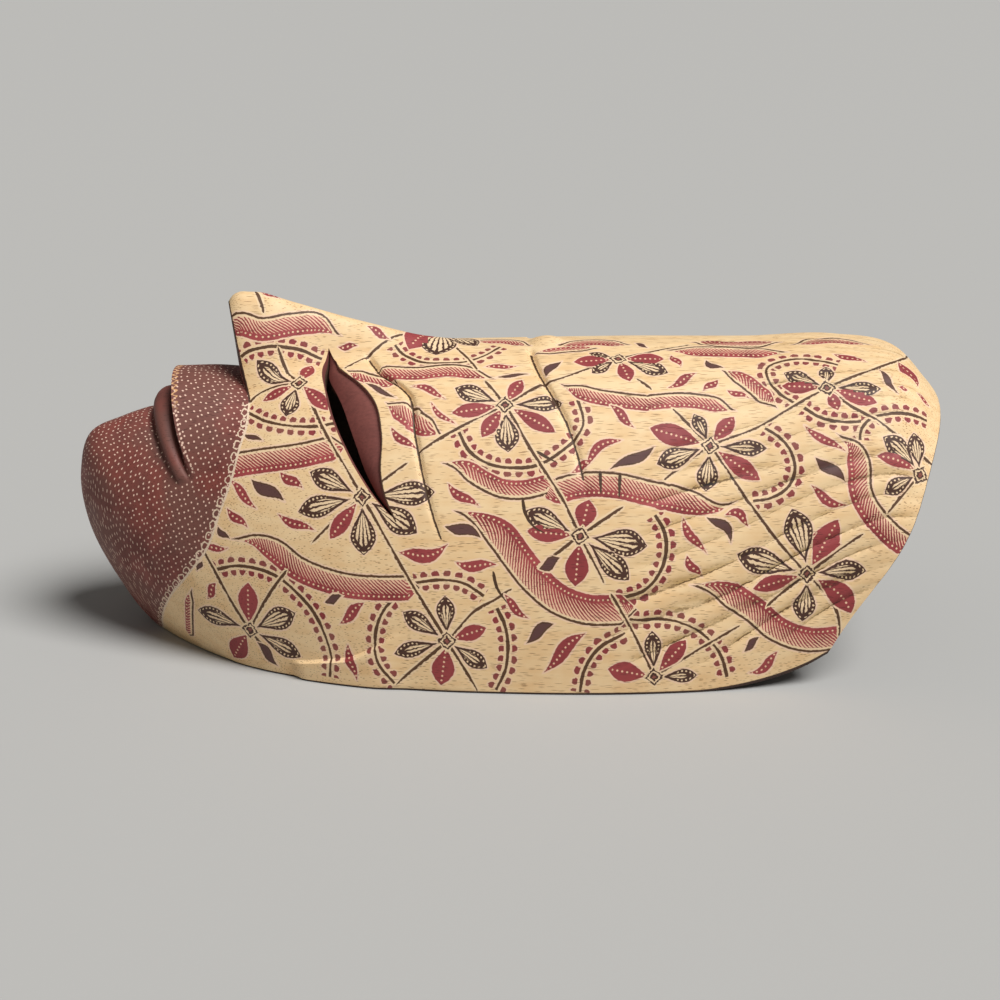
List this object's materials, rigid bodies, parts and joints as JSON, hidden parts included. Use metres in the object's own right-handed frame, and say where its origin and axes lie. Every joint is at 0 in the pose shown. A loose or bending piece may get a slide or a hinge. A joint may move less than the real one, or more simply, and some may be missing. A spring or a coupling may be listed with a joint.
{
  "type": "carved wooden face mask",
  "caption": "Long hollow face mask in carved light wood with blade nose, slit eyes, grooved hair and a painted batik pattern, lying on its rim.",
  "frame": {"origin": "centre of the bounding box at the height of the flat rim", "axes": "+X from the chin to the crown, +Y to the mask's own right side, +Z out of the face"},
  "size_m": [0.3196, 0.1382, 0.13],
  "materials": {
    "painted_light_wood": "satin painted"
  },
  "bodies": {
    "root": {"mask_shell": "painted_light_wood"}
  },
  "joints": []
}
